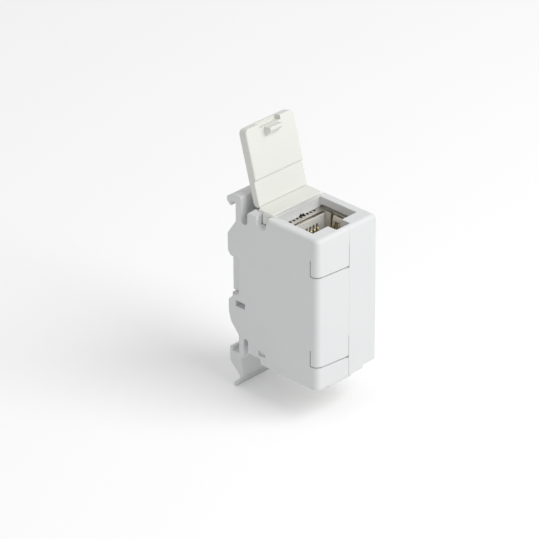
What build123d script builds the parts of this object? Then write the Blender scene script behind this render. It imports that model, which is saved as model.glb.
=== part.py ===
from build123d import *
from math import cos, radians, sin
import os

# One-module holder for a top-hat rail, with a shielded keystone jack inside.
# X runs along the rail, the front faces -Y and +Z is up. The origin is on the
# middle of the rail's front face, level with the middle of the rail.

# Rail sizes that the holder fits
rail_height = 35.0
rail_metal = 1.0
rail_channel_height = 25.0

# Holder, outside
module_width = 17.5
front_reach = 23.2
box_top = 16.9
box_bottom = -17.8
left_corner_radius = 1.3
right_corner_radius = 0.25
top_edge_radius = 0.9
rim_radius = 0.15
seam_offset = 0.8

# Holder, walls
jack_side_play = 0.25
front_wall = 1.2
top_wall = 1.75
floor_wall = 1.2
back_wall = 1.4
flex_slot = 1.85
hook_stem = 1.65
rear_ledge_drop = 0.6
bottom_lip = 0.5
bottom_lip_setback = 0.1
bottom_lip_left = -5.2
bottom_lip_right = 1.6
corner_step_left = 5.0
corner_step_depth = 3.0
corner_step_height = 0.75

# Rail hook and foot
hook_rise = 1.8
hook_lip = 1.2
hook_overlap = 0.9
hook_slope = 0.9
hook_end = 1.85
hook_flare = 0.3
channel_reach = 2.2
rail_gap = 0.1
stem_gap = 0.2
stem_top = 0.9
upper_shoulder = (9.9, 5.8)
waist = 4.4
waist_depth = 1.3
lower_shoulder = (-5.6, -8.6, -10.6)
lower_shoulder_depth = 0.1
lower_shoulder_foot = 0.7
lower_stem = 0.8
foot_gap = 0.8
foot_arm = 1.35
foot_arm_step = 0.9
foot_slot = 1.25
foot_tooth = 1.85
foot_tooth_height = 2.7
foot_heel = 2.55
foot_tip = 0.7
foot_tip_height = 0.65
foot_slot_top = -13.4
foot_tooth_overlap = 0.8
foot_length = 8.35
arch_width = 3.5
arch_end = 1.5
arch_flare = 0.25
arch_height = 1.3
spine_hollows = ((-9.6, -5.2), (-3.7, 3.6), (5.6, 9.6))
hollow_middle = 4.1
hollow_width = 5.4
hollow_depth = 5.1
column_inset = 0.7
column_rear = 1.75
column_front = -0.85
column_top = 4.9
column_bottom = -3.5
column_radius = 0.7
column_gap = 0.25
column_depth = 2.0
column_root = 0.5
side_recess_reach = 3.2
rear_slot_corners = ((0.2, -5.2), (-2.6, -5.2), (-2.6, -6.5), (0.1, -6.6))
rear_slot_depth = 1.6
pocket_corners = ((-6.3, -14.6), (-6.4, -15.9), (-8.4, -15.7), (-8.5, -14.95))
pocket_radius = 0.3
pocket_depth = 0.5

# Snap tongues of the left shell
tongue_slit = 0.25
tongue_wrap = 1.9
tongue_length = 3.6
tongue_ends = ((8.4, 7.75), (-12.5, -13.3))
seam_groove = 0.2
seam_groove_length = 5.0
relief_width = 0.8
relief_height = 0.5
apron_gap_width = 1.6
apron_gap_height = 0.75
apron_step_width = 1.0
apron_step_height = 0.3

# Opening over the jack
opening_width = 12.8
opening_rear = 9.5
opening_front = 19.8
plug_notch_width = 4.0
plug_notch_front = 22.1
opening_apron = 1.2
outlet_width = 11.0
outlet_radius = 1.5

# Cover
band_side_play = 0.25
band_rear = 5.45
band_front = 9.4
band_thickness = 0.65
film_radius = 0.15
film_gap = 0.05
band_radius = 0.2
lid_lean = 15.3
lid_side_play = 0.15
lid_inset = 1.15
lid_thickness = 1.95
lid_step = 0.5
lid_corner = 1.1
lid_edge_radius = 0.3
strap_length = 5.6
strap_radius = 1.0
lid_over_band = 0.05
catch_side_play = 0.2
catch_depth = 1.8
catch_setback = 1.0
catch_land = 0.7
catch_slope = 1.4
catch_root = 0.1
catch_edge = 0.15
strap_slope = 0.3
thumb_width = 6.0
thumb_reach = 0.9
thumb_depth = 1.4
tab_front = 8.5
tab_rear = 7.8
tab_drop = 1.3
tab_rise = 0.45
tab_inset = 0.25
tab_play = 0.12
tab_rear_play = 0.5
tab_drop_play = 0.35
tab_notch_flare = 1.0
tab_notch_rise = 1.5
ear_thickness = 1.6
ear_rise = 1.1
ear_front = 7.3
ear_recess_rear = 5.95
ear_recess_low = 14.2
ear_recess_depth = 0.5
ear_recess_slope = 20
ear_recess_rise = 0.3
ear_foot = 1.0

# Keystone jack
jack_width = 14.4
jack_drop = 0.8
jack_rear_gap = 0.1
jack_front_gap = 0.2
jack_corner_radius = 0.5
shell_wall = 0.9
mouth_width = 11.8
mouth_height = 6.8
mouth_rear = 11.4
mouth_depth = 12.4
board_room = 1.75
latch_slot_width = 6.2
latch_slot_reach = 1.6
latch_finger_width = 4.0
latch_finger_reach = 2.7
face_sheet = 0.35
tooth_count = 7
tooth_pitch = 1.17
tooth_width = 0.75
tooth_reach = 0.5
tooth_depth = 0.8

# Ground springs
spring_middle = 15.15
spring_width = 2.9
spring_metal = 0.25
spring_length = 10.6
spring_room = 0.7
spring_bow = 0.35
spring_pocket_play = 0.6
spring_foot = 0.25
spring_head = 0.45
spring_head_drop = 0.3
spring_window = (1.0, 1.6)
spring_window_drop = 2.2

# Contacts and carrier
contact_count = 8
contact_pitch = 1.02
contact_width = 0.45
contact_thickness = 0.3
contact_tip_reach = 2.3
contact_slot_play = 0.1
contact_bend = 0.22
contact_foot = 0.3
contact_shoulder = 0.35
contact_drop = 2.2
contact_fall = 6.5
contact_end = 7.4
solder_hole_radius = 0.36
solder_reach = 0.3
carrier_floor = 1.2
carrier_play = 0.05
face_tolerance = 0.01
comb_bridge = 1.4
comb_back = 0.25

# Circuit board, wire block, caps
board_thickness = 1.0
board_play = 0.1
wire_block_height = 8.6
fork_width = 1.8
fork_thickness = 0.4
fork_pitch = 2.9
fork_row = 3.1
fork_play = 0.1
fork_slit = 0.35
fork_slit_height = 3.2
fork_inset = 1.0
block_end = 0.3
block_row_depth = 2.6
block_roof = 1.8
wire_slot_width = 0.7
wire_slot_height = 4.6
cap_play = 0.05
cap_side = 0.3
cap_radius = 0.4
roof_slot = (8.2, 1.0)
roof_slot_inset = 2.2
hood_gap = 0.2
cap_floor = 1.2
cap_wall = 0.8
cap_height = 7.5
cable_bore = 7.4
hood_wall = 0.7
hood_floor = 1.1
clamp_metal = 0.5
clamp_bore = 6.6
clamp_height = 2.0
clamp_mouth = 3.0
cap_bore = 6.0

# Inner ribs that hold the jack
rib_level = 9.1
rib_height = 1.4
rib_play = 0.2
rear_rib_reach = 2.8
front_rib_middle = 4.5
front_rib_width = 3.4
front_rib_reach = 0.65
latch_width = 9.0
latch_thickness = 1.0
latch_gap = 0.7
latch_foot = 2.2
latch_nose = 1.7
latch_ramp = 4.0
latch_tip = 2.0

os.makedirs("parts", exist_ok=True)

# Places worked out from the sizes above
half_width = module_width / 2
rail_top = rail_height / 2
rail_bottom = -rail_height / 2
half_channel = rail_channel_height / 2
slot_rear = hook_stem
slot_front = hook_stem + flex_slot
cavity_rear = slot_front + back_wall
cavity_front = front_reach - front_wall
cavity_top = box_top - top_wall
cavity_floor = box_bottom + floor_wall
cavity_half = jack_width / 2 + jack_side_play
side_wall = half_width - cavity_half
hook_top = rail_top + hook_rise
jack_face = cavity_top - jack_drop
shell_bottom = jack_face - mouth_depth - carrier_floor - board_thickness - board_room
jack_rear = opening_rear + jack_rear_gap
jack_front = cavity_front - jack_front_gap
jack_middle = (jack_rear + jack_front) / 2
band_top = box_top + band_thickness
hinge_y = -(band_rear - film_radius)
hinge_z = band_top + lid_over_band
rear_ledge = box_top - rear_ledge_drop
arch_top = box_bottom + arch_height
band_width = module_width - 2 * (ear_thickness + band_side_play)
lid_width = module_width - 2 * (ear_thickness + lid_side_play)
lid_length = front_reach - lid_inset + hinge_y
catch_width = plug_notch_width - 2 * catch_side_play


def outline(points):
    """A closed face from (horizontal, vertical, corner radius) triples."""
    with BuildLine() as edge:
        FilletPolyline(*[(p[0], p[1]) for p in points], radius=[p[2] for p in points], close=True)
    make_face(edge.edges())


def finish(piece, name):
    """Labels a finished piece and writes it to its file."""
    piece.part.label = name
    export_step(piece.part, "parts/" + name + ".step")


# Holder: both shells are first made as one block, then parted at the seam.
arm_front = -(foot_gap + foot_arm)
tooth_low = rail_bottom - foot_tooth_height
foot_bottom = rail_bottom - foot_length
spine_points = [
    (-cavity_rear, rear_ledge, 0),
    (-slot_rear, rear_ledge, 0),
    (-slot_rear, hook_top, 0.3),
    (0.1, hook_top, 1.0),
    (rail_metal + rail_gap + hook_lip, hook_top - hook_slope, 0.3),
    (rail_metal + rail_gap + hook_lip, hook_top - hook_end, 0.3),
    (rail_metal + rail_gap + hook_flare, rail_top - hook_overlap, 0.1),
    (rail_metal + rail_gap, rail_top - hook_overlap, 0),
    (rail_metal + rail_gap, rail_top + rail_gap, 0),
    (-stem_gap, rail_top + rail_gap, 0),
    (-stem_gap, half_channel + stem_top, 1.2),
    (channel_reach, upper_shoulder[0], 1.0),
    (channel_reach, upper_shoulder[1], 0.8),
    (channel_reach - waist_depth, waist, 0.4),
    (channel_reach - waist_depth, -waist, 0.3),
    (channel_reach - lower_shoulder_depth, lower_shoulder[0], 0.5),
    (channel_reach - lower_shoulder_depth, lower_shoulder[1], 2.0),
    (channel_reach - lower_shoulder_foot, lower_shoulder[2], 1.0),
    (-foot_gap, -half_channel - lower_stem, 1.6),
    (-foot_gap, rail_bottom - rail_gap, 0),
    (rail_metal + rail_gap, rail_bottom - rail_gap, 0),
    (rail_metal + rail_gap, rail_bottom + foot_tooth_overlap, 0.1),
    (foot_tooth, rail_bottom + foot_tooth_overlap, 0.2),
    (foot_tooth, tooth_low, 0.4),
    (-foot_gap - 0.2, tooth_low - foot_heel, 0.5),
    (-foot_gap - 0.1, tooth_low - foot_heel - 0.75, 0.3),
    (foot_tip, foot_bottom + foot_tip_height, 0.1),
    (foot_tip, foot_bottom, 0.1),
    (0.1, foot_bottom, 0.3),
    (arm_front + 0.2, tooth_low - 2.3, 1.0),
    (arm_front + foot_arm_step, rail_bottom - 1.4, 0.6),
    (arm_front, rail_bottom - 0.1, 0.3),
    (arm_front, arch_top, 0),
    (-cavity_rear, arch_top, 0),
]

with BuildPart() as holder:
    with BuildSketch(Plane.YZ):
        with BuildLine():
            Polyline(
                (-front_reach, box_top),
                (-band_rear, box_top),
                (-band_rear, rear_ledge),
                (-cavity_rear, rear_ledge),
                (-cavity_rear, arch_top),
                (-cavity_rear - arch_width + arch_end, arch_top),
                (-cavity_rear - arch_width + arch_end - arch_flare, box_bottom),
                (-front_reach, box_bottom),
                close=True,
            )
        make_face()
    extrude(amount=half_width, both=True)
    front_corners = holder.edges().filter_by(Axis.Z).group_by(Axis.Y)[0].sort_by(Axis.X)
    fillet(front_corners[0], left_corner_radius)
    fillet(front_corners[-1], right_corner_radius)
    top_rim = holder.faces().sort_by(Axis.Z)[-1].edges()
    top_rear = top_rim.group_by(Axis.Y)[-1]
    fillet([edge for edge in top_rim if edge not in top_rear], top_edge_radius)
    # Lip under the front wall, and the raised corner beside it
    with BuildSketch(Plane.XY.offset(box_bottom)):
        with Locations((bottom_lip_left, -front_reach + bottom_lip_setback)):
            Rectangle(bottom_lip_right - bottom_lip_left, front_wall, align=Align.MIN)
    extrude(amount=-bottom_lip)
    with BuildSketch(Plane.XY.offset(box_bottom)):
        with Locations((corner_step_left, -front_reach)):
            Rectangle(half_width - corner_step_left, corner_step_depth, align=Align.MIN)
    extrude(amount=corner_step_height, mode=Mode.SUBTRACT)
    with BuildSketch(Plane.YZ):
        outline(spine_points)
    extrude(amount=half_width, both=True)

    # Slots that let the hook and the foot spring
    with BuildSketch(Plane.YZ):
        slot_middle = -(slot_rear + slot_front) / 2
        slot_bottom = half_channel + stem_top
        with Locations((slot_middle, slot_bottom + flex_slot / 2)):
            Circle(flex_slot / 2)
            Rectangle(flex_slot, hook_top, align=(Align.CENTER, Align.MIN))
        foot_slot_middle = arm_front - foot_slot / 2
        with Locations((foot_slot_middle, foot_slot_top - foot_slot / 2)):
            Circle(foot_slot / 2)
            Rectangle(foot_slot, -box_bottom, align=(Align.CENTER, Align.MAX))
    extrude(amount=half_width, both=True, mode=Mode.SUBTRACT)

    # Room for the jack
    floor_step = -cavity_rear - arch_width + arch_end - floor_wall
    with BuildSketch(Plane.YZ):
        with BuildLine():
            Polyline(
                (-cavity_front, cavity_top),
                (-cavity_rear, cavity_top),
                (-cavity_rear, arch_top + floor_wall),
                (floor_step, arch_top + floor_wall),
                (floor_step, cavity_floor),
                (-cavity_front, cavity_floor),
                close=True,
            )
        make_face()
    extrude(amount=cavity_half, both=True, mode=Mode.SUBTRACT)

    # Apron behind the opening, down to the jack's face, and the inner ribs
    with BuildSketch(Plane.XY.offset(jack_face)):
        with Locations((0, -opening_rear + opening_apron / 2)):
            Rectangle(2 * cavity_half, opening_apron)
    extrude(amount=cavity_top - jack_face)
    with BuildSketch(Plane.XY.offset(rib_level)):
        with Locations((0, -cavity_rear)):
            Rectangle(2 * cavity_half, rear_rib_reach, align=(Align.CENTER, Align.MAX))
        with Locations((-front_rib_middle, -cavity_front), (front_rib_middle, -cavity_front)):
            Rectangle(front_rib_width, front_rib_reach, align=(Align.CENTER, Align.MIN))
    extrude(amount=rib_height)

    # Opening with the notch for the plug's finger lever
    with BuildSketch(Plane.XY.offset(box_top)):
        with Locations((0, -opening_front)):
            Rectangle(opening_width, opening_front - opening_rear, align=(Align.CENTER, Align.MIN))
        with Locations((0, -plug_notch_front)):
            Rectangle(plug_notch_width, plug_notch_front - opening_rear, align=(Align.CENTER, Align.MIN))
    extrude(amount=-top_wall - jack_drop, mode=Mode.SUBTRACT)
    top_level = holder.edges().filter_by_position(Axis.Z, box_top - face_tolerance, box_top + face_tolerance)
    over_jack = top_level.filter_by_position(Axis.X, -opening_width / 2, opening_width / 2)
    fillet(over_jack.filter_by_position(Axis.Y, -plug_notch_front, -opening_rear), rim_radius)

    # Cable outlet in the floor
    with BuildSketch(Plane.XY.offset(box_bottom)):
        with Locations((0, -jack_middle)):
            RectangleRounded(outlet_width, outlet_width, outlet_radius)
    extrude(amount=floor_wall, mode=Mode.SUBTRACT)

    # Hollows in the rear of the spine, between its ribs
    for side in (-1, 1):
        for low, high in spine_hollows:
            with BuildSketch(Plane.XZ.offset(-channel_reach)):
                with Locations((side * hollow_middle, (low + high) / 2)):
                    Rectangle(hollow_width, high - low)
            extrude(amount=hollow_depth, mode=Mode.SUBTRACT)

    column_side = half_width - column_inset
    column_height = column_top - column_bottom

    # Ears beside the cover's hinge line, and the outer recesses of the side faces
    for side in (-1, 1):
        ear_plane = Plane.YZ.offset(side * half_width)
        with BuildSketch(ear_plane):
            outline([
                (-slot_front, rear_ledge - ear_foot, 0),
                (-slot_front, rear_ledge - 0.1, 0.5),
                (-band_rear + 0.2, box_top + ear_rise, 1.2),
                (-ear_front - 0.1, box_top + ear_rise, 0.6),
                (-ear_front - 0.8, rear_ledge - ear_foot, 0),
            ])
        extrude(amount=-side * ear_thickness)
        # Recess around the band's tab, with sloping sides
        recess_top = box_top + ear_recess_rise
        with BuildSketch(ear_plane):
            outline([
                (-ear_recess_rear, recess_top, 0.4),
                (-ear_recess_rear, ear_recess_low, 1.2),
                (-tab_front, ear_recess_low, 0.4),
                (-tab_front - 0.5, box_top - 0.9, 0.5),
                (-tab_front - 1.4, recess_top, 0),
            ])
        extrude(amount=-side * ear_recess_depth, taper=ear_recess_slope, mode=Mode.SUBTRACT)
        # Notch that the tab reaches through
        with BuildSketch(ear_plane):
            outline([
                (-tab_rear + tab_rear_play, box_top + tab_notch_rise, 0),
                (-tab_rear + tab_rear_play, box_top - tab_drop - tab_drop_play, 0),
                (-tab_front - tab_play, box_top - tab_drop - tab_drop_play, 0),
                (-tab_front - tab_play, box_top - 0.6, 0.8),
                (-tab_front - tab_notch_flare, box_top + tab_notch_rise, 0),
            ])
        extrude(amount=-side * (half_width - band_width / 2), mode=Mode.SUBTRACT)
        # Side recess, and the rounded column that stands in it
        with BuildSketch(ear_plane):
            with Locations((column_front, column_bottom)):
                Rectangle(side_recess_reach, column_height, align=Align.MIN)
        extrude(amount=-side * column_inset, mode=Mode.SUBTRACT)
        with BuildSketch(Plane.XY.offset(column_bottom)):
            with BuildLine():
                FilletPolyline(
                    (side * column_side, column_front - column_root),
                    (side * column_side, column_rear),
                    (side * (column_side - column_depth), column_rear),
                    (side * (column_side - column_depth), column_front - column_root),
                    radius=[0.2, column_radius, 0.2, 0.2],
                    close=True,
                )
            make_face()
        extrude(amount=column_height)
        with BuildSketch(ear_plane):
            with Locations((column_front, column_bottom)):
                Rectangle(side_recess_reach, column_gap, align=Align.MIN)
        extrude(amount=-side * 2 * column_inset, mode=Mode.SUBTRACT)
        # Slot below the column, and the small pocket over the arch
        with BuildSketch(ear_plane):
            outline([(y, z, 0) for y, z in rear_slot_corners])
        extrude(amount=-side * rear_slot_depth, mode=Mode.SUBTRACT)
        with BuildSketch(ear_plane):
            outline([(y, z, pocket_radius) for y, z in pocket_corners])
        extrude(amount=-side * pocket_depth, mode=Mode.SUBTRACT)

seam = Plane.YZ.offset(seam_offset)

with BuildPart() as housing_left:
    add(holder.part)
    split(bisect_by=seam, keep=Keep.BOTTOM)
    # Each snap tongue is cut free along its slanted end, along its side slit and at a relief hole
    for end_left, end_seam in tongue_ends:
        half_slit = tongue_slit / 2
        with BuildSketch(Plane.XZ.offset(front_reach)):
            with BuildLine():
                Polyline(
                    (-half_width, end_left - half_slit),
                    (seam_offset, end_seam - half_slit),
                    (seam_offset, end_seam + half_slit),
                    (-half_width, end_left + half_slit),
                    close=True,
                )
            make_face()
            with Locations((seam_offset - relief_width / 2, end_seam)):
                Rectangle(relief_width, relief_height)
        extrude(amount=-front_wall, mode=Mode.SUBTRACT)
        with BuildSketch(Plane.YZ.offset(-half_width)):
            with Locations((-front_reach, end_left - half_slit)):
                Rectangle(tongue_wrap, tongue_slit, align=Align.MIN)
            with Locations((-front_reach + tongue_wrap, end_left)):
                Rectangle(tongue_slit, tongue_length, align=(Align.CENTER, Align.MIN))
        extrude(amount=side_wall, mode=Mode.SUBTRACT)
        with BuildSketch(Plane.XZ.offset(front_reach)):
            with Locations((seam_offset, end_seam)):
                Rectangle(seam_groove, seam_groove_length, align=(Align.CENTER, Align.MIN))
        extrude(amount=-seam_groove, mode=Mode.SUBTRACT)
    with BuildSketch(Plane.XZ.offset(front_reach)):
        with Locations((seam_offset, box_bottom)):
            Rectangle(seam_groove, end_seam - box_bottom, align=(Align.CENTER, Align.MIN))
    extrude(amount=-seam_groove, mode=Mode.SUBTRACT)
    # Small gap at the foot of the opening's rear wall
    with BuildSketch(Plane.XZ.offset(opening_rear)):
        with BuildLine():
            Polyline(
                (seam_offset - apron_gap_width, jack_face),
                (seam_offset, jack_face + apron_gap_height),
                (seam_offset, jack_face),
                close=True,
            )
        make_face()
    extrude(amount=-opening_apron, mode=Mode.SUBTRACT)

with BuildPart() as housing_right:
    add(holder.part)
    split(bisect_by=seam, keep=Keep.TOP)
    with BuildSketch(Plane.XZ.offset(opening_rear)):
        with Locations((seam_offset, jack_face)):
            Rectangle(apron_step_width, apron_step_height, align=Align.MIN)
    extrude(amount=-opening_apron, mode=Mode.SUBTRACT)

finish(housing_left, "housing_left")
finish(housing_right, "housing_right")

# Cover: a fixed band on the holder and a lid that folds on a thin film.
with BuildPart() as cover_base:
    with BuildSketch(Plane.YZ):
        with Locations((-band_rear, box_top)):
            Rectangle(band_front - band_rear, band_thickness, align=(Align.MAX, Align.MIN))
        with Locations((hinge_y, hinge_z)):
            Circle(film_radius)
        with Locations((hinge_y, band_top - film_radius)):
            Rectangle(2 * film_radius, film_radius, align=(Align.MAX, Align.MIN))
    extrude(amount=band_width / 2, both=True)
    fillet(cover_base.edges().filter_by(Axis.X).group_by(Axis.Y)[0].sort_by(Axis.Z)[-1], band_radius)
    for side in (-1, 1):
        with BuildSketch(Plane.YZ.offset(side * band_width / 2)):
            with Locations((-tab_rear, box_top - tab_drop)):
                Rectangle(tab_front - tab_rear, tab_drop + tab_rise, align=(Align.MAX, Align.MIN))
        extrude(amount=side * (half_width - band_width / 2 - tab_inset))

finish(cover_base, "cover_base")

lid_plane = Plane(
    origin=(0, hinge_y, hinge_z),
    x_dir=(0, sin(radians(lid_lean)), cos(radians(lid_lean))),
    z_dir=(1, 0, 0),
)

with BuildPart() as cover_lid:
    lid_back = lid_step - lid_thickness
    with BuildSketch(lid_plane):
        outline([
            (0, lid_back, strap_radius),
            (0, 0, 0),
            (strap_length, 0, 0),
            (strap_length + strap_slope, lid_step, 0),
            (lid_length, lid_step, 0),
            (lid_length, lid_back, 0),
        ])
    extrude(amount=lid_width / 2, both=True)
    across_lid = Axis(lid_plane.origin, lid_plane.y_dir)
    fillet(cover_lid.edges().filter_by(across_lid).sort_by(Axis.Z)[-2:], lid_corner)
    inner_face = cover_lid.faces().filter_by(across_lid).sort_by(across_lid)[-1]
    inner_rim = inner_face.edges()
    fillet([edge for edge in inner_rim if edge not in inner_rim.group_by(Axis.Z)[0]], lid_edge_radius)
    # Groove that wraps the film
    with BuildSketch(lid_plane):
        Circle(film_radius + film_gap)
    extrude(amount=lid_width / 2, both=True, mode=Mode.SUBTRACT)
    # Thumb recess at the free end
    with BuildSketch(lid_plane):
        with Locations((lid_length, lid_step)):
            Rectangle(thumb_reach, thumb_depth, align=(Align.MAX, Align.MAX))
    extrude(amount=thumb_width / 2, both=True, mode=Mode.SUBTRACT)
    # Catch that drops into the plug notch
    catch_top = lid_length - catch_setback
    catch_front = lid_step + catch_depth
    with BuildSketch(lid_plane):
        outline([
            (catch_top - catch_land - catch_slope, lid_step - catch_root, 0),
            (catch_top - catch_land, catch_front, catch_edge),
            (catch_top - catch_root, catch_front, catch_edge),
            (catch_top, lid_step - catch_root, 0),
        ])
    extrude(amount=catch_width / 2, both=True)

finish(cover_lid, "cover_lid")

# Jack shell: die-cast, open at the mouth and below.
with BuildPart() as jack_shell:
    with BuildSketch(Plane.XY.offset(shell_bottom)):
        with Locations((0, -jack_middle)):
            RectangleRounded(jack_width, jack_front - jack_rear, jack_corner_radius)
    extrude(amount=jack_face - shell_bottom)
    # Mouth for the plug, with the two steps for its latch
    with BuildSketch(Plane.XY.offset(jack_face)) as mouth:
        with Locations((0, -mouth_rear)):
            Rectangle(mouth_width, mouth_height, align=(Align.CENTER, Align.MAX))
            Rectangle(latch_slot_width, mouth_height + latch_slot_reach, align=(Align.CENTER, Align.MAX))
            Rectangle(latch_finger_width, mouth_height + latch_finger_reach, align=(Align.CENTER, Align.MAX))
    extrude(amount=-mouth_depth, mode=Mode.SUBTRACT)
    # Pocket for the contact carrier, under the thin face sheet
    with BuildSketch(Plane.XY.offset(jack_face - face_sheet)):
        with Locations((0, -jack_rear - shell_wall)):
            Rectangle(mouth_width, mouth_height / 2, align=(Align.CENTER, Align.MAX))
    extrude(amount=shell_bottom - jack_face + face_sheet, mode=Mode.SUBTRACT)
    with BuildSketch(Plane.XY.offset(jack_face - mouth_depth)):
        with Locations((0, -jack_rear - shell_wall)):
            Rectangle(mouth_width, mouth_height + 2 * carrier_play, align=(Align.CENTER, Align.MAX))
    extrude(amount=shell_bottom - jack_face + mouth_depth, mode=Mode.SUBTRACT)
    # Room for the circuit board
    with BuildSketch(Plane.XY.offset(shell_bottom)):
        with Locations((0, -jack_middle)):
            Rectangle(jack_width - 2 * shell_wall, jack_front - jack_rear - 2 * shell_wall)
    extrude(amount=board_thickness + board_room + face_tolerance, mode=Mode.SUBTRACT)
    # Pockets for the ground springs
    for side in (-1, 1):
        with BuildSketch(Plane.XY.offset(jack_face)):
            with Locations((side * mouth_width / 2, -spring_middle)):
                Rectangle(2 * spring_room, spring_width + 2 * spring_pocket_play)
        extrude(amount=-spring_length - spring_pocket_play, mode=Mode.SUBTRACT)
    # Grooves for the holder's front ribs
    with BuildSketch(Plane.XY.offset(rib_level - rib_play)):
        with Locations((-front_rib_middle, -jack_front), (front_rib_middle, -jack_front)):
            Rectangle(front_rib_width + 2 * rib_play, front_rib_reach, align=(Align.CENTER, Align.MIN))
    extrude(amount=rib_height + 2 * rib_play, mode=Mode.SUBTRACT)
    # Fine teeth along the rear edge of the face
    with BuildSketch(Plane.XY.offset(jack_face)):
        with Locations((0, -jack_rear)):
            with GridLocations(tooth_pitch, 1, tooth_count, 1):
                Rectangle(tooth_width, tooth_reach)
    extrude(amount=-tooth_depth, mode=Mode.SUBTRACT)

finish(jack_shell, "jack_shell")

# Latch arm: the springy side of the keystone fixing.
latch_back = -jack_rear + latch_gap
latch_front = latch_back + latch_thickness
latch_seat = rib_level - rib_play

with BuildPart() as latch_arm:
    with BuildSketch(Plane.YZ):
        with BuildLine():
            Polyline(
                (-jack_rear, shell_bottom),
                (latch_front, shell_bottom),
                (latch_front, latch_seat - latch_ramp),
                (latch_front + latch_nose, latch_seat),
                (latch_front, latch_seat),
                (latch_front, rib_level + rib_height + latch_tip),
                (latch_back, rib_level + rib_height + latch_tip),
                (latch_back, shell_bottom + latch_foot),
                (-jack_rear, shell_bottom + latch_foot),
                close=True,
            )
        make_face()
    extrude(amount=latch_width / 2, both=True)

finish(latch_arm, "latch_arm")

# Contact carrier: a base that the eight contacts stand in, and a comb that guides them.
carrier_rear = jack_rear + shell_wall + carrier_play
carrier_top = jack_face - face_sheet - comb_back
carrier_bottom = jack_face - mouth_depth - carrier_floor
base_top = carrier_bottom + carrier_floor
contact_row = [(i - (contact_count - 1) / 2) * contact_pitch for i in range(contact_count)]
slot_width = contact_width + 2 * contact_slot_play
carrier_width = mouth_width - 2 * carrier_play
comb_depth = mouth_rear - carrier_rear + carrier_play

with BuildPart() as contact_comb:
    with BuildSketch(Plane.XY.offset(base_top)):
        with Locations((0, -carrier_rear)):
            Rectangle(carrier_width, comb_depth, align=(Align.CENTER, Align.MAX))
    extrude(amount=carrier_top - base_top)
    with BuildSketch(Plane.XY.offset(base_top)):
        for x in contact_row:
            with Locations((x, -carrier_rear - comb_back)):
                Rectangle(slot_width, mouth_height, align=(Align.CENTER, Align.MAX))
    extrude(amount=carrier_top - base_top - comb_bridge, mode=Mode.SUBTRACT)

finish(contact_comb, "contact_comb")

with BuildPart() as contact_carrier:
    with BuildSketch(Plane.XY.offset(carrier_bottom)):
        with Locations((0, -carrier_rear)):
            Rectangle(carrier_width, mouth_height, align=(Align.CENTER, Align.MAX))
        with Locations([(x, -carrier_rear - comb_back) for x in contact_row]):
            Rectangle(slot_width, 2 * contact_thickness, align=(Align.CENTER, Align.MAX), mode=Mode.SUBTRACT)
    extrude(amount=carrier_floor)

finish(contact_carrier, "contact_carrier")

# Contacts: gold-plated wires, each bent once.
board_top = carrier_bottom
board_bottom = board_top - board_thickness
leg_y = -(carrier_rear + contact_foot + contact_thickness / 2)
bend_z = carrier_top - contact_drop

for number, x in enumerate(contact_row, start=1):
    with BuildPart() as contact:
        with BuildSketch(Plane.YZ.offset(x)):
            with BuildLine() as wire:
                FilletPolyline(
                    (leg_y, board_bottom - solder_reach),
                    (leg_y, bend_z),
                    (-mouth_rear - contact_shoulder, bend_z - 0.2),
                    (-mouth_rear - contact_tip_reach, bend_z - contact_fall),
                    (-mouth_rear - contact_tip_reach, bend_z - contact_end),
                    radius=contact_bend,
                )
            trace(wire.line, contact_thickness)
        extrude(amount=contact_width / 2, both=True)
    finish(contact, "contact_" + str(number))

# Ground springs: one in each side of the mouth, bowed towards the plug
for side, name in ((-1, "ground_spring_left"), (1, "ground_spring_right")):
    wall_x = side * mouth_width / 2
    with BuildPart() as spring:
        with BuildSketch(Plane.XZ.offset(spring_middle - spring_width / 2)):
            with BuildLine() as bow:
                Spline(
                    (wall_x + side * (spring_room - spring_foot), jack_face - spring_length),
                    (wall_x - side * spring_bow, jack_face - spring_length / 2),
                    (wall_x + side * (spring_room - spring_head), jack_face - spring_head_drop),
                )
            trace(bow.line, spring_metal)
        extrude(amount=spring_width)
        with BuildSketch(Plane.YZ.offset(wall_x - side)):
            with Locations((-spring_middle + spring_metal, jack_face - spring_window_drop)):
                Rectangle(*spring_window)
        extrude(amount=2 * side, mode=Mode.SUBTRACT)
    finish(spring, name)

# Circuit board under the carrier
board_width = jack_width - 2 * (shell_wall + board_play)
board_depth = jack_front - jack_rear - 2 * (shell_wall + board_play)

with BuildPart() as circuit_board:
    with BuildSketch(Plane.XY.offset(board_bottom)):
        with Locations((0, -jack_middle)):
            Rectangle(board_width, board_depth)
        with Locations([(x, leg_y) for x in contact_row]):
            Circle(solder_hole_radius, mode=Mode.SUBTRACT)
    extrude(amount=board_thickness)

finish(circuit_board, "circuit_board")

# Wire block with eight slots in two rows, and its forked contacts
wire_block_top = board_bottom
wire_block_bottom = wire_block_top - wire_block_height
fork_places = [
    (column * fork_pitch, -jack_middle + row * fork_row)
    for row in (-1, 1)
    for column in (-1.5, -0.5, 0.5, 1.5)
]
block_width = 4 * fork_pitch + 2 * block_end
block_depth = 2 * fork_row + block_row_depth

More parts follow.
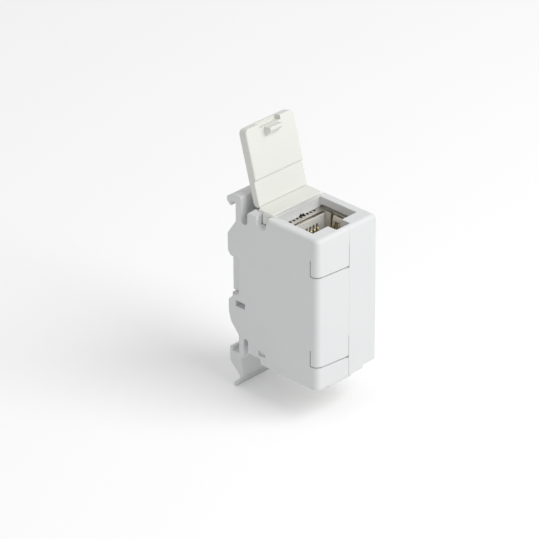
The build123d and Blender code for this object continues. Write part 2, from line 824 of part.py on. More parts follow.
with BuildPart() as wire_block:
    with BuildSketch(Plane.XY.offset(wire_block_bottom)):
        with Locations((0, -jack_middle)):
            Rectangle(block_width, block_depth)
            Rectangle(block_width, 2 * fork_row - block_row_depth, mode=Mode.SUBTRACT)
    extrude(amount=wire_block_height - block_roof)
    with BuildSketch(Plane.XY.offset(wire_block_top - block_roof)):
        with Locations((0, -jack_middle)):
            Rectangle(block_width, block_depth)
        for row in (-1, 1):
            with Locations((0, -jack_middle + row * (fork_row - roof_slot_inset))):
                Rectangle(*roof_slot, mode=Mode.SUBTRACT)
    extrude(amount=block_roof)
    with BuildSketch(Plane.XY.offset(wire_block_bottom)):
        with Locations(fork_places):
            Rectangle(fork_width + 2 * fork_play, fork_thickness + 2 * fork_play)
    extrude(amount=wire_block_height, mode=Mode.SUBTRACT)
    # Slots that the wires are pressed into
    for x, y in fork_places:
        with BuildSketch(Plane.XZ.offset(-y + block_depth / 4)):
            with Locations((x, wire_block_bottom)):
                Rectangle(wire_slot_width, 2 * wire_slot_height)
        extrude(amount=-block_depth / 2, mode=Mode.SUBTRACT)

finish(wire_block, "wire_block")

for number, (x, y) in enumerate(fork_places, start=1):
    with BuildPart() as fork:
        with BuildSketch(Plane.XZ.offset(-y - fork_thickness / 2)):
            with Locations((x, wire_block_bottom + fork_inset)):
                Rectangle(fork_width, wire_block_height - fork_inset, align=(Align.CENTER, Align.MIN))
                Rectangle(fork_slit, 2 * fork_slit_height, mode=Mode.SUBTRACT)
        extrude(amount=fork_thickness)
    finish(fork, "wire_fork_" + str(number))

# Wire cap pressed over the block
cap_bottom = wire_block_bottom - cap_floor
cap_width = block_width + 2 * cap_side
cap_depth = block_depth + 2 * (cap_wall + 2 * cap_play)

with BuildPart() as wire_cap:
    with BuildSketch(Plane.XY.offset(cap_bottom)):
        with Locations((0, -jack_middle)):
            RectangleRounded(cap_width, cap_depth, cap_radius)
    extrude(amount=cap_height)
    with BuildSketch(Plane.XY.offset(wire_block_bottom)):
        with Locations((0, -jack_middle)):
            Rectangle(block_width + 2 * cap_play, block_depth + 2 * cap_play)
    extrude(amount=cap_height, mode=Mode.SUBTRACT)
    with BuildSketch(Plane.XY.offset(cap_bottom)):
        with Locations((0, -jack_middle)):
            Circle(cap_bore / 2)
    extrude(amount=cap_height, mode=Mode.SUBTRACT)

finish(wire_cap, "wire_cap")

# Hood: the rear half of the die-cast shielding, with the cable's way out
hood_bottom = cavity_floor + hood_gap
with BuildPart() as rear_hood:
    with BuildSketch(Plane.XY.offset(hood_bottom)):
        with Locations((0, -jack_middle)):
            RectangleRounded(jack_width, jack_front - jack_rear, jack_corner_radius)
    extrude(amount=shell_bottom - hood_bottom)
    with BuildSketch(Plane.XY.offset(hood_bottom + hood_floor)):
        with Locations((0, -jack_middle)):
            Rectangle(jack_width - 2 * hood_wall, jack_front - jack_rear - 2 * hood_wall)
    extrude(amount=shell_bottom - hood_bottom, mode=Mode.SUBTRACT)
    with BuildSketch(Plane.XY.offset(hood_bottom)):
        with Locations((0, -jack_middle)):
            Circle(cable_bore / 2)
    extrude(amount=hood_floor, mode=Mode.SUBTRACT)

finish(rear_hood, "rear_hood")

# Cable clamp: an open steel ring on the hood's floor
with BuildPart() as cable_clamp:
    with BuildSketch(Plane.XY.offset(hood_bottom + hood_floor)):
        with Locations((0, -jack_middle)):
            Circle(clamp_bore / 2 + clamp_metal)
            Circle(clamp_bore / 2, mode=Mode.SUBTRACT)
        with Locations((0, -jack_middle - clamp_bore / 2)):
            Rectangle(clamp_mouth, clamp_bore, mode=Mode.SUBTRACT)
    extrude(amount=clamp_height)

finish(cable_clamp, "cable_clamp")
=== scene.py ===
from math import cos, radians, sin

import bmesh
import bpy
from mathutils import Matrix, Vector


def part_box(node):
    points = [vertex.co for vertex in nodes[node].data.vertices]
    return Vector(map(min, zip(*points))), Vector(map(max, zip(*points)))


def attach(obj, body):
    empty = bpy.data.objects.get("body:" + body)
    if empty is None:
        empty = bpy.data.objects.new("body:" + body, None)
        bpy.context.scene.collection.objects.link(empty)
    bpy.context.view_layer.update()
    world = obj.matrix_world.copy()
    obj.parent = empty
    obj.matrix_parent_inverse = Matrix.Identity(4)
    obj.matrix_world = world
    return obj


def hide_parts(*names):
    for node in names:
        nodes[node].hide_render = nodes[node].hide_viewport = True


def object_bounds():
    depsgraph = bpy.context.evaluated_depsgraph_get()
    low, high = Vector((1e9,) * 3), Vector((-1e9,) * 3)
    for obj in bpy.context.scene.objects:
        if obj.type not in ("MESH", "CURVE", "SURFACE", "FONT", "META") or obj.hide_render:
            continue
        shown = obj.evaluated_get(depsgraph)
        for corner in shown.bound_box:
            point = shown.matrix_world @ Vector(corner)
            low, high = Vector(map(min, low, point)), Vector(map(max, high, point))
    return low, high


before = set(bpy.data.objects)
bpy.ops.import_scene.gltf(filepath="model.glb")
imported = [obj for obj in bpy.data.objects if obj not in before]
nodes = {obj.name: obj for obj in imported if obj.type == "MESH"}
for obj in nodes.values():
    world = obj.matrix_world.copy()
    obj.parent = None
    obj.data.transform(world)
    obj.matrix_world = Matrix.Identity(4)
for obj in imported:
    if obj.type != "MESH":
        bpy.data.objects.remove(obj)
cad_low, cad_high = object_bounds()

# Holder shells
# Two half shells of light grey polycarbonate blend, injection moulded in a
# spark-eroded tool, which leaves a fine even grain and no shine. They snap
# together around the jack.
MM = 0.001
TINY = 0.01 * MM


def linear(hex_colour):
    """An sRGB hex value as the linear colour that a shader takes."""
    parts = [int(hex_colour[i : i + 2], 16) / 255 for i in (1, 3, 5)]
    return [c / 12.92 if c <= 0.04045 else ((c + 0.055) / 1.055) ** 2.4 for c in parts] + [1.0]


def add_node(tree, kind, settings=None, **links):
    """One node with its settings, and its inputs linked or set by name."""
    node = tree.nodes.new(kind)
    for name, value in (settings or {}).items():
        setattr(node, name, value)
    for name, value in links.items():
        socket = node.inputs[name.replace("_", " ")]
        if isinstance(value, bpy.types.NodeSocket):
            tree.links.new(value, socket)
        else:
            socket.default_value = value
    return node


def start_material(name):
    """An empty material, its tree and its object coordinates."""
    material = bpy.data.materials.new(name)
    material.use_nodes = True
    tree = material.node_tree
    tree.nodes.clear()
    place = add_node(tree, "ShaderNodeTexCoord")
    return material, tree, place.outputs["Object"]


def rough_and_normal(tree, texture, roughness, spread, depth, strength, edge_radius):
    """Roughness and normal from one fine texture, with the edges softened a little."""
    rough = add_node(
        tree,
        "ShaderNodeMapRange",
        Value=texture,
        To_Min=roughness - spread,
        To_Max=roughness + spread,
    )
    edge = add_node(tree, "ShaderNodeBevel", {"samples": 6}, Radius=edge_radius)
    bump = add_node(
        tree,
        "ShaderNodeBump",
        Height=texture,
        Strength=strength,
        Distance=depth,
        Normal=edge.outputs["Normal"],
    )
    return {"Roughness": rough.outputs["Result"], "Normal": bump.outputs["Normal"]}


def moulded_plastic(name, shade, tint, grain, depth, roughness):
    """Moulded plastic: an even colour with a faint drift, and the tool's grain as a bump."""
    patch = 9 * MM
    material, tree, place = start_material(name)
    drift = add_node(tree, "ShaderNodeTexNoise", Vector=place, Scale=1 / patch, Detail=2.0)
    colour = add_node(
        tree,
        "ShaderNodeMix",
        {"data_type": "RGBA"},
        Factor=drift.outputs["Fac"],
        A=linear(shade),
        B=linear(tint),
    )
    spark = add_node(tree, "ShaderNodeTexNoise", Vector=place, Scale=1 / grain, Detail=3.0)
    surface = rough_and_normal(
        tree,
        spark.outputs["Fac"],
        roughness,
        spread=0.06,
        depth=depth,
        strength=0.35,
        edge_radius=0.15 * MM,
    )
    shader = add_node(
        tree,
        "ShaderNodeBsdfPrincipled",
        Base_Color=colour.outputs["Result"],
        IOR=1.5,
        **surface,
    )
    add_node(tree, "ShaderNodeOutputMaterial", Surface=shader.outputs["BSDF"])
    return material


def baked(name, source, kind, settings, inputs=None):
    """The plain mesh that one modifier makes of a mesh or a curve."""
    blank = bpy.data.objects.new(name + "_blank", source)
    bpy.context.scene.collection.objects.link(blank)
    modifier = blank.modifiers.new("shape", kind)
    for key, value in settings.items():
        setattr(modifier, key, value)
    if inputs:
        for socket in modifier.node_group.interface.items_tree:
            if socket.in_out == "INPUT" and socket.name in inputs:
                modifier[socket.identifier] = inputs[socket.name]
    graph = bpy.context.evaluated_depsgraph_get()
    mesh = bpy.data.meshes.new_from_object(blank.evaluated_get(graph))
    mesh.name = name
    bpy.data.objects.remove(blank)
    return mesh


def cut_mesh(name, mesh, cutter):
    """The mesh with a closed cutter taken away."""
    tool = bpy.data.objects.new(name + "_cutter", cutter)
    bpy.context.scene.collection.objects.link(tool)
    settings = {"operation": "DIFFERENCE", "solver": "EXACT", "object": tool}
    result = baked(name, mesh, "BOOLEAN", settings)
    bpy.data.objects.remove(tool)
    return result


def finish_piece(name, mesh, material, *stands_for):
    """A new piece on the holder in place of carried-over ones, smooth up to a clear edge."""
    # A facet of a fillet turns less than this angle
    clear_edge = radians(14)
    mesh.materials.clear()
    mesh.materials.append(material)
    for face in mesh.polygons:
        face.use_smooth = True
        face.material_index = 0
    mesh.set_sharp_from_angle(angle=clear_edge)
    # Normals weighted by area keep the large faces flat beside their fillets
    shaded = baked(name, mesh, "WEIGHTED_NORMAL", {"keep_sharp": True, "weight": 100})
    piece = bpy.data.objects.new(name, shaded)
    bpy.context.scene.collection.objects.link(piece)
    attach(piece, "holder")
    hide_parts(*stands_for)
    return piece


def merged_copy(name):
    """A copy of a carried-over piece's mesh with its loose triangles joined."""
    surface = bmesh.new()
    surface.from_mesh(nodes[name].data)
    bmesh.ops.remove_doubles(surface, verts=surface.verts, dist=0.0005 * MM)
    return surface


def new_mesh(name, surface):
    """Turns a bmesh into a mesh with its faces outwards, and frees it."""
    bmesh.ops.recalc_face_normals(surface, faces=surface.faces)
    mesh = bpy.data.meshes.new(name)
    surface.to_mesh(mesh)
    surface.free()
    return mesh


def prism(surface, outline, low, high, along, side=1):
    """Adds a closed prism: an outline in y and z drawn out along X, or in x and z along Y."""
    rings = []
    for level in (low, high):
        points = [(side * level, a, b) if along == "X" else (side * a, level, b) for a, b in outline]
        rings.append([surface.verts.new(point) for point in points])
    first, last = rings
    for i in range(len(outline)):
        j = (i + 1) % len(outline)
        surface.faces.new((first[i], first[j], last[j], last[i]))
    surface.faces.new(list(reversed(first)))
    surface.faces.new(last)


def prism_cutter(outline, low, high, along, side=1):
    """One prism as a mesh to cut with."""
    surface = bmesh.new()
    prism(surface, outline, low, high, along, side)
    return new_mesh("cutter", surface)


# A real tool's grain is under a tenth of a millimetre. It is drawn coarser here,
# and so are the grains of the other finishes, so that they show.
shell_plastic = moulded_plastic(
    "spark_eroded_grey_plastic",
    "#E6E7E7",
    "#E2E3E4",
    grain=0.25 * MM,
    depth=0.012 * MM,
    roughness=0.5,
)
QUARTER_TURN = [radians(a) for a in range(0, 91, 10)]
ABOVE = 18.6 * MM
BESIDE = 8.8 * MM

# The ear's top slopes up inwards, in x and z
EAR_OUTER_TOP, EAR_INNER_TOP = 16.34 * MM, 17.12 * MM
EAR_INNER, EAR_SHOULDER = 7.1 * MM, 7.5 * MM
EAR_REAR, EAR_FRONT = -3.3 * MM, -7.4 * MM
ear_top = [
    (BESIDE, EAR_OUTER_TOP),
    (8.55 * MM, EAR_OUTER_TOP + 0.18 * MM),
    (8.0 * MM, EAR_INNER_TOP - 0.24 * MM),
    (EAR_SHOULDER, EAR_INNER_TOP),
    (EAR_INNER, EAR_INNER_TOP),
    (EAR_INNER, ABOVE),
    (BESIDE, ABOVE),
]

# The pocket beside it, open at the top, in y and z
POCKET_FLOOR = 7.75 * MM
POCKET_REAR, POCKET_FRONT = -6.12 * MM, -8.87 * MM
POCKET_LOW = 14.4 * MM
POCKET_ROUND = 0.9 * MM
rear_corner = [
    (POCKET_REAR - POCKET_ROUND * (1 - cos(a)), POCKET_LOW + POCKET_ROUND * (1 - sin(a)))
    for a in QUARTER_TURN
]
pocket = [
    (POCKET_REAR, ABOVE),
    *rear_corner,
    (POCKET_FRONT + 0.5 * MM, POCKET_LOW),
    (POCKET_FRONT + 0.3 * MM, POCKET_LOW + 0.12 * MM),
    (POCKET_FRONT, POCKET_LOW + 1.58 * MM),
    (POCKET_FRONT, ABOVE),
]

# The gap in the pocket's floor that the cover's tab drops into, in y and z
GAP_REAR, GAP_FRONT = -6.55 * MM, -8.7 * MM
GAP_INNER, GAP_OUTER = 6.95 * MM, 7.8 * MM
GAP_LOW = 14.7 * MM
tab_gap = [(GAP_REAR, GAP_LOW), (GAP_FRONT, GAP_LOW), (GAP_FRONT, ABOVE), (GAP_REAR, ABOVE)]

# The small gap at the foot of the opening's rear wall is narrower than in the solids
JACK_FACE = 14.35 * MM
APRON_REAR, APRON_FRONT = -8.2 * MM, -9.6 * MM
SOLID_GAP_CORNER, GAP_CORNER = -0.8 * MM, 0.2 * MM

for half, side in (("left", -1), ("right", 1)):
    shell = merged_copy(f"housing_{half}")
    for vertex in shell.verts:
        x, y, z = vertex.co
        at_corner = abs(x - SOLID_GAP_CORNER) < TINY and abs(z - JACK_FACE) < TINY
        if at_corner and APRON_FRONT < y < APRON_REAR:
            vertex.co.x = GAP_CORNER
    mesh = new_mesh(f"shell_{half}", shell)
    for cutter in (
        prism_cutter(ear_top, EAR_REAR, EAR_FRONT, "Y", side),
        prism_cutter(pocket, POCKET_FLOOR, BESIDE, "X", side),
        prism_cutter(tab_gap, GAP_INNER, GAP_OUTER, "X", side),
    ):
        mesh = cut_mesh(f"shell_{half}", mesh, cutter)
    piece = finish_piece(f"shell_{half}", mesh, shell_plastic, f"housing_{half}")


# Dust cover
# One moulding of off-white polypropylene: a band with two tabs that drop into
# the shells' pockets, and the lid on a thin film. The tool is smoother than
# the shells' one, so the cover has a little more shine.
def block(low, high):
    """A box between two corners."""
    surface = bmesh.new()
    bmesh.ops.create_cube(surface, size=1.0)
    for vertex in surface.verts:
        vertex.co = [high[i] if vertex.co[i] > 0 else low[i] for i in range(3)]
    return surface


def round_edges(surface, edges, radius, segments):
    """Rounds some edges of a bmesh."""
    bmesh.ops.bevel(surface, geom=edges, offset=radius, segments=segments, profile=0.5, affect="EDGES")


def finish_node(name, material):
    """Gives a carried-over piece its material."""
    mesh = nodes[name].data
    mesh.materials.clear()
    mesh.materials.append(material)


cover_plastic = moulded_plastic(
    "off_white_polypropylene",
    "#E9EAE4",
    "#E5E6DF",
    grain=0.4 * MM,
    depth=0.006 * MM,
    roughness=0.38,
)
finish_node("cover_lid", cover_plastic)

BAND_HALF = 7.4 * MM
BAND_REAR, BAND_FRONT = -5.45 * MM, -9.4 * MM
BAND_LOW, BAND_TOP = 16.9 * MM, 17.55 * MM
CORNER_ROUND, RIM_ROUND = 0.8 * MM, 0.25 * MM
band = block((-BAND_HALF, BAND_FRONT, BAND_LOW), (BAND_HALF, BAND_REAR, BAND_TOP))
front_corners = [
    edge
    for edge in band.edges
    if all(abs(vertex.co.y - BAND_FRONT) < TINY for vertex in edge.verts)
    and abs(edge.verts[0].co.z - edge.verts[1].co.z) > TINY
]
round_edges(band, front_corners, CORNER_ROUND, 6)
top_rim = [
    edge
    for edge in band.edges
    if all(vertex.co.z > BAND_TOP - TINY for vertex in edge.verts)
    and any(vertex.co.y < BAND_REAR - TINY for vertex in edge.verts)
]
round_edges(band, top_rim, RIM_ROUND, 4)

# The tabs, with a rounded shoulder. They start inside the band, a little
# below its top, so that no two faces lie on one plane.
UNDER_TOP = BAND_TOP - 0.03 * MM
TAB_INNER, TAB_REACH = 6.95 * MM, 7.72 * MM
TAB_REAR, TAB_FRONT = -6.92 * MM, -8.6 * MM
TAB_LOW = 14.95 * MM
TAB_ROUND = 0.7 * MM
shoulder = [
    (TAB_REACH - TAB_ROUND * (1 - sin(a)), UNDER_TOP - TAB_ROUND * (1 - cos(a)))
    for a in QUARTER_TURN
]
tab = [
    (TAB_INNER, UNDER_TOP),
    *shoulder,
    (TAB_REACH, TAB_LOW),
    (TAB_INNER + 0.25 * MM, TAB_LOW),
    (TAB_INNER, BAND_LOW + 0.03 * MM),
]
for side in (-1, 1):
    prism(band, tab, TAB_REAR, TAB_FRONT, "Y", side)

# The film's bead on the hinge line, and the ridge that holds it
FILM_RADIUS = 0.15 * MM
FILM_HALF = 6.9 * MM
FILM_Y, FILM_Z = -5.3 * MM, 17.6 * MM
bead = [
    (FILM_Y + FILM_RADIUS * cos(radians(a)), FILM_Z + FILM_RADIUS * sin(radians(a)))
    for a in range(0, 360, 30)
]
ridge = [
    (FILM_Y, BAND_TOP - FILM_RADIUS),
    (BAND_REAR - FILM_RADIUS, BAND_TOP - FILM_RADIUS),
    (BAND_REAR - FILM_RADIUS, UNDER_TOP),
    (FILM_Y, UNDER_TOP),
]
prism(band, bead, -FILM_HALF, FILM_HALF, "X")
prism(band, ridge, -FILM_HALF + 0.02 * MM, FILM_HALF - 0.02 * MM, "X")
piece = finish_piece("hinge_band", new_mesh("hinge_band", band), cover_plastic, "cover_base")


# Shielding
# Front casting, latch arm and hood are zinc die castings with a satin nickel
# plating, so they mirror softly and show the casting's faint orange peel.
def plated_metal(name, shade, dark, grain, depth, roughness):
    """Plated metal: a soft mirror, its colour a little uneven in broad random patches."""
    patch = 8 * grain
    material, tree, place = start_material(name)
    cloud = add_node(tree, "ShaderNodeTexNoise", Vector=place, Scale=1 / patch, Detail=3.0)
    colour = add_node(
        tree,
        "ShaderNodeMix",
        {"data_type": "RGBA"},
        Factor=cloud.outputs["Fac"],
        A=linear(dark),
        B=linear(shade),
    )
    peel = add_node(tree, "ShaderNodeTexNoise", Vector=place, Scale=1 / grain, Detail=2.0)
    surface = rough_and_normal(
        tree,
        peel.outputs["Fac"],
        roughness,
        spread=0.08,
        depth=depth,
        strength=0.4,
        edge_radius=0.075 * MM,
    )
    shader = add_node(
        tree,
        "ShaderNodeBsdfPrincipled",
        Base_Color=colour.outputs["Result"],
        Metallic=1.0,
        **surface,
    )
    add_node(tree, "ShaderNodeOutputMaterial", Surface=shader.outputs["BSDF"])
    return material


def row_tree(name, extra_inputs, shape_one):
    """Geometry nodes that repeat one shape in a row and give it its material."""
    tree = bpy.data.node_groups.new(name, "GeometryNodeTree")
    inputs = {
        "Geometry": "Geometry",
        "Count": "Int",
        "First": "Vector",
        "Pitch": "Vector",
        "Material": "Material",
        **extra_inputs,
    }
    for label, kind in inputs.items():
        tree.interface.new_socket(label, in_out="INPUT", socket_type="NodeSocket" + kind)
    tree.interface.new_socket("Geometry", in_out="OUTPUT", socket_type="NodeSocketGeometry")
    given = tree.nodes.new("NodeGroupInput").outputs
    row = add_node(
        tree,
        "GeometryNodeMeshLine",
        {"mode": "OFFSET"},
        Count=given["Count"],
        Start_Location=given["First"],
        Offset=given["Pitch"],
    )
    copies = add_node(
        tree,
        "GeometryNodeInstanceOnPoints",
        Points=row.outputs["Mesh"],
        Instance=shape_one(tree, given),
    )
    real = add_node(tree, "GeometryNodeRealizeInstances", Geometry=copies.outputs["Instances"])
    dressed = add_node(
        tree,
        "GeometryNodeSetMaterial",
        Geometry=real.outputs["Geometry"],
        Material=given["Material"],
    )
    add_node(tree, "NodeGroupOutput", Geometry=dressed.outputs["Geometry"])
    return tree


def one_box(tree, given):
    """The box that a row of boxes repeats."""
    return add_node(tree, "GeometryNodeMeshCube", Size=given["Size"]).outputs["Mesh"]


boxes_tree = row_tree("row_of_boxes", {"Size": "Vector"}, one_box)


def row_start(count, pitch):
    """Where a row that is centred on the middle plane begins."""
    return -(count - 1) / 2 * pitch


def row_of_boxes(name, count, first, pitch, size, material):
    """A mesh of equal boxes in a row along X."""
    inputs = {"Count": count, "First": first, "Pitch": (pitch, 0, 0), "Size": size, "Material": material}
    return baked(name, bpy.data.meshes.new(name), "NODES", {"node_group": boxes_tree}, inputs)


cast_nickel = plated_metal(
    "satin_nickel_on_zinc",
    "#E4E0D8",
    "#D4D0C7",
    grain=0.3 * MM,
    depth=0.01 * MM,
    roughness=0.34,
)
for casting in ("latch_arm", "rear_hood"):
    finish_node(casting, cast_nickel)

# Gaps along the casting's rear edge, and the small teeth between them
GAP_COUNT = 10
TOOTH_PITCH = 1.0 * MM
TOOTH_SHIFT = -0.07 * MM
TOOTH_GAP = Vector((0.6, 0.65, 1.2)) * MM
TOOTH = Vector((0.42, 0.52, 0.5)) * MM
GAP_MIDDLE, TOOTH_MIDDLE = -9.83 * MM, -9.8 * MM
first_gap = row_start(GAP_COUNT, TOOTH_PITCH) + TOOTH_SHIFT
gaps = row_of_boxes(
    "tooth_gaps",
    GAP_COUNT,
    (first_gap, GAP_MIDDLE, JACK_FACE),
    TOOTH_PITCH,
    TOOTH_GAP,
    cast_nickel,
)
teeth = row_of_boxes(
    "casting_teeth",
    GAP_COUNT + 1,
    (first_gap - TOOTH_PITCH / 2, TOOTH_MIDDLE, JACK_FACE - TOOTH.z / 2 - TINY),
    TOOTH_PITCH,
    TOOTH,
    cast_nickel,
)

# The lip over the mouth's rear edge, cut back and thinned, in y and z
MOUTH_HALF = 5.9 * MM
LIP_REAR, LIP_FRONT = -10.95 * MM, -11.5 * MM
LIP_UNDER = 14.15 * MM
HOLLOW_REAR, HOLLOW_LOW = -10.25 * MM, 13.2 * MM
LIP_ABOVE = JACK_FACE + MM
lip = [
    (LIP_FRONT, LIP_ABOVE),
    (LIP_REAR, LIP_ABOVE),
    (LIP_REAR, LIP_UNDER),
    (HOLLOW_REAR, LIP_UNDER),
    (HOLLOW_REAR, HOLLOW_LOW),
    (LIP_FRONT, HOLLOW_LOW),
]
mesh = new_mesh("front_casting", merged_copy("jack_shell"))
mesh = cut_mesh("front_casting", mesh, gaps)
mesh = cut_mesh("front_casting", mesh, prism_cutter(lip, -MOUTH_HALF, MOUTH_HALF, "X"))
casting = bmesh.new()
casting.from_mesh(mesh)
casting.from_mesh(teeth)
piece = finish_piece("front_casting", new_mesh("front_casting", casting), cast_nickel, "jack_shell")

# Contact carrier
# A floor and a slotted wall of glass-filled polyester that guide the contacts,
# moulded smooth in a nearly white warm grey.
carrier_plastic = moulded_plastic(
    "glass_filled_polyester",
    "#F0EEEA",
    "#EAE7E2",
    grain=0.3 * MM,
    depth=0.008 * MM,
    roughness=0.45,
)
finish_node("contact_carrier", carrier_plastic)

CONTACT_COUNT = 8
CONTACT_PITCH = 1.02 * MM
WALL = 0.3 * MM
WALL_TOP = 13.82 * MM
SLOT_WIDTH = 0.62 * MM
SLOT_TOP = 12.25 * MM
comb_low, comb_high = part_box("contact_comb")
first_contact = row_start(CONTACT_COUNT, CONTACT_PITCH)
slot_height = 2 * (SLOT_TOP - comb_low.z)
slots = row_of_boxes(
    "contact_slots",
    CONTACT_COUNT,
    (first_contact, comb_low.y, SLOT_TOP - slot_height / 2),
    CONTACT_PITCH,
    (SLOT_WIDTH, 4 * WALL, slot_height),
    carrier_plastic,
)
wall = block(comb_low, (comb_high.x, comb_low.y + WALL, WALL_TOP))
mesh = cut_mesh("contact_wall", new_mesh("contact_wall", wall), slots)
piece = finish_piece("contact_wall", mesh, carrier_plastic, "contact_comb")


# Contacts
# Eight phosphor bronze wires, bent to a shallow ramp and soldered in the
# board. They have gold over nickel where the plug rubs them, which gives a
# pale yellow gleam.
def one_wire(tree, given):
    """The wire that a row of wires repeats: a path with rounded bends and a round section."""
    bent = add_node(
        tree,
        "GeometryNodeFilletCurve",
        {"mode": "POLY"},
        Curve=given["Geometry"],
        Count=6,
        Radius=given["Bend Radius"],
    )
    section = add_node(
        tree,
        "GeometryNodeCurvePrimitiveCircle",
        Resolution=12,
        Radius=given["Wire Radius"],
    )
    wire = add_node(
        tree,
        "GeometryNodeCurveToMesh",
        Curve=bent.outputs["Curve"],
        Profile_Curve=section.outputs["Curve"],
        Fill_Caps=True,
    )
    return wire.outputs["Mesh"]


gold_wire = plated_metal(
    "gold_on_bronze",
    "#EFE0B0",
    "#E6D293",
    grain=0.2 * MM,
    depth=0.003 * MM,
    roughness=0.25,
)
WIRE_RADIUS = 0.15 * MM
BEND_RADIUS = 0.35 * MM
SHOULDER_REACH, SHOULDER_FALL = 0.75 * MM, 0.2 * MM
RAMP_FALL, TIP_FALL = 6.5 * MM, 7.4 * MM
wire_low, wire_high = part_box("contact_1")
leg_y = wire_high.y - WIRE_RADIUS
tip_y = wire_low.y + WIRE_RADIUS
bend_z = wire_high.z - WIRE_RADIUS
wire_path = [
    (leg_y, wire_low.z),
    (leg_y, bend_z),
    (leg_y - SHOULDER_REACH, bend_z - SHOULDER_FALL),
    (tip_y, bend_z - RAMP_FALL),
    (tip_y, bend_z - TIP_FALL),
]
line = bpy.data.curves.new("contact_path", "CURVE")
line.dimensions = "3D"
spline = line.splines.new("POLY")
spline.points.add(len(wire_path) - 1)
for point, (y, z) in zip(spline.points, wire_path):
    point.co = (0, y, z, 1)
wires_tree = row_tree("row_of_wires", {"Wire Radius": "Float", "Bend Radius": "Float"}, one_wire)
wire_inputs = {
    "Count": CONTACT_COUNT,
    "First": (first_contact, 0, 0),
    "Pitch": (CONTACT_PITCH, 0, 0),
    "Material": gold_wire,
    "Wire Radius": WIRE_RADIUS,
    "Bend Radius": BEND_RADIUS,
}
mesh = baked("contact_wires", line, "NODES", {"node_group": wires_tree}, wire_inputs)
contacts = [f"contact_{number}" for number in range(1, CONTACT_COUNT + 1)]
piece = finish_piece("contact_wires", mesh, gold_wire, *contacts)

# Ground springs
# Thin bowed strips of nickel-plated bronze in the mouth's sides, which touch
# the plug's shield. They are rolled smooth, so they gleam.
spring_strip = plated_metal(
    "nickel_on_bronze_strip",
    "#E8E4DA",
    "#DAD5C9",
    grain=0.25 * MM,
    depth=0.003 * MM,
    roughness=0.25,
)
for side in ("left", "right"):
    finish_node(f"ground_spring_{side}", spring_strip)

# Circuit board
# Glass-fibre laminate that joins the contacts to the wire block, under a
# green solder mask that is smooth and slightly shiny.
board_laminate = moulded_plastic(
    "solder_mask_green",
    "#1F5A35",
    "#26663D",
    grain=0.5 * MM,
    depth=0.004 * MM,
    roughness=0.3,
)
finish_node("circuit_board", board_laminate)

# Wire block and its cap
# A comb of white polycarbonate with tinned bronze forks that cut into the
# wires, and the grey cap that presses the wires home. Both are moulded
# smooth, with a soft shine.
block_plastic = moulded_plastic(
    "white_polycarbonate",
    "#E9E9E6",
    "#E2E2DE",
    grain=0.3 * MM,
    depth=0.006 * MM,
    roughness=0.4,
)
cap_plastic = moulded_plastic(
    "mid_grey_polycarbonate",
    "#A9ABAD",
    "#A0A2A5",
    grain=0.3 * MM,
    depth=0.006 * MM,
    roughness=0.4,
)
tinned_fork = plated_metal(
    "tin_on_bronze",
    "#D6D6D2",
    "#C4C4C0",
    grain=0.2 * MM,
    depth=0.003 * MM,
    roughness=0.3,
)
finish_node("wire_block", block_plastic)
finish_node("wire_cap", cap_plastic)
for number in range(1, CONTACT_COUNT + 1):
    finish_node(f"wire_fork_{number}", tinned_fork)

# Cable clamp
# An open ring of bright spring steel on the hood's floor, which holds the
# cable. Its rolled surface mirrors softly.
clamp_steel = plated_metal(
    "bright_spring_steel",
    "#BFC1C3",
    "#AEB0B3",
    grain=0.25 * MM,
    depth=0.004 * MM,
    roughness=0.28,
)
finish_node("cable_clamp", clamp_steel)

# Floor
# A plain studio floor just under the holder's foot, in matt white paint that
# keeps the object's shadow. A faint glow that only the camera sees makes it
# as bright as the surround.
FLOOR_HALF = 3.0
FLOOR_GAP = 0.2 * MM
FLOOR_GLOW = 0.17
floor_level = cad_low.z - FLOOR_GAP
corners = [(-1, -1), (1, -1), (1, 1), (-1, 1)]
floor_mesh = bpy.data.meshes.new("floor")
floor_mesh.from_pydata(
    [(x * FLOOR_HALF, y * FLOOR_HALF, floor_level) for x, y in corners],
    [],
    [(0, 1, 2, 3)],
)
floor = bpy.data.objects.new("floor", floor_mesh)
bpy.context.scene.collection.objects.link(floor)
floor_paint, tree, _ = start_material("matt_white_floor")
matt = add_node(tree, "ShaderNodeBsdfDiffuse", Color=linear("#FAFAFA"))
rays = add_node(tree, "ShaderNodeLightPath")
lift = add_node(tree, "ShaderNodeMapRange", Value=rays.outputs["Is Camera Ray"], To_Max=FLOOR_GLOW)
glow = add_node(
    tree,
    "ShaderNodeEmission",
    Color=linear("#FFFFFF"),
    Strength=lift.outputs["Result"],
)
both = add_node(tree, "ShaderNodeAddShader")
tree.links.new(matt.outputs["BSDF"], both.inputs[0])
tree.links.new(glow.outputs["Emission"], both.inputs[1])
add_node(tree, "ShaderNodeOutputMaterial", Surface=both.outputs["Shader"])
floor_mesh.materials.append(floor_paint)

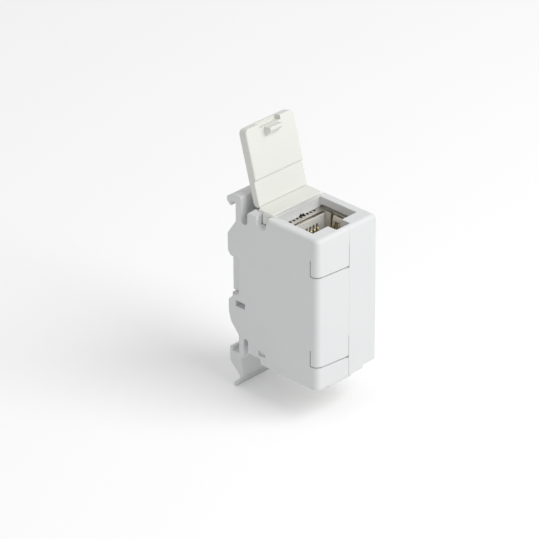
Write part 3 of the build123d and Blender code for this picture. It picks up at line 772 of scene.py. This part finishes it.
# Studio light
# An even pale surround, and one large soft lamp from the front right and
# above, so that the front is the brightest side and the left side is in shade.
SURROUND_ON_OBJECT, SURROUND_SEEN = 0.5, 1.0
world = bpy.data.worlds.new("studio")
world.use_nodes = True
bpy.context.scene.world = world
tree = world.node_tree
tree.nodes.clear()
rays = add_node(tree, "ShaderNodeLightPath")
seen = add_node(tree, "ShaderNodeMath", {"operation": "MAXIMUM"})
tree.links.new(rays.outputs["Is Camera Ray"], seen.inputs[0])
tree.links.new(rays.outputs["Is Glossy Ray"], seen.inputs[1])
strength = add_node(
    tree,
    "ShaderNodeMapRange",
    Value=seen.outputs["Value"],
    To_Min=SURROUND_ON_OBJECT,
    To_Max=SURROUND_SEEN,
)
surround = add_node(
    tree,
    "ShaderNodeBackground",
    Color=linear("#FFFFFF"),
    Strength=strength.outputs["Result"],
)
add_node(tree, "ShaderNodeOutputWorld", Surface=surround.outputs["Background"])

LAMP_PLACE = Vector((0.2, -0.55, 0.55))
LAMP_SIZE = 0.6
LAMP_WATTS = 3.95
lamp = bpy.data.lights.new("key_lamp", "AREA")
lamp.shape = "SQUARE"
lamp.size = LAMP_SIZE
lamp.energy = LAMP_WATTS
key_lamp = bpy.data.objects.new("key_lamp", lamp)
key_lamp.location = LAMP_PLACE
key_lamp.rotation_euler = (-LAMP_PLACE).to_track_quat("-Z", "Y").to_euler()
bpy.context.scene.collection.objects.link(key_lamp)

# Camera
# It looks from the front left and above, as the photograph does, with a long
# lens from about three quarters of a metre away. The angles are in degrees,
# the lens and the sensor in millimetres.
PHOTO_TURN = -45.51
PHOTO_HEIGHT = 28.65
PHOTO_ROLL = -0.32
PHOTO_DISTANCE = 769.3 * MM
PHOTO_AIM = Vector((-8.96, -10.0, 5.9)) * MM
PHOTO_LENS = 251.75
SENSOR_WIDTH = 36
turn, height, roll = (radians(angle) for angle in (PHOTO_TURN, PHOTO_HEIGHT, PHOTO_ROLL))
back = Vector((sin(turn) * cos(height), -cos(turn) * cos(height), sin(height)))
level_right = Vector((cos(turn), sin(turn), 0))
level_up = back.cross(level_right)
right = level_right * cos(roll) + level_up * sin(roll)
up = level_up * cos(roll) - level_right * sin(roll)
axes = Matrix((right, up, back)).transposed()

camera_data = bpy.data.cameras.new("camera")
camera_data.lens = PHOTO_LENS
camera_data.sensor_width = SENSOR_WIDTH
camera_data.clip_start = 0.01
camera_data.clip_end = 20
camera = bpy.data.objects.new("camera", camera_data)
camera.matrix_world = Matrix.Translation(PHOTO_AIM + back * PHOTO_DISTANCE) @ axes.to_4x4()
bpy.context.scene.collection.objects.link(camera)
bpy.context.scene.camera = camera
bpy.context.scene.view_settings.view_transform = "Standard"
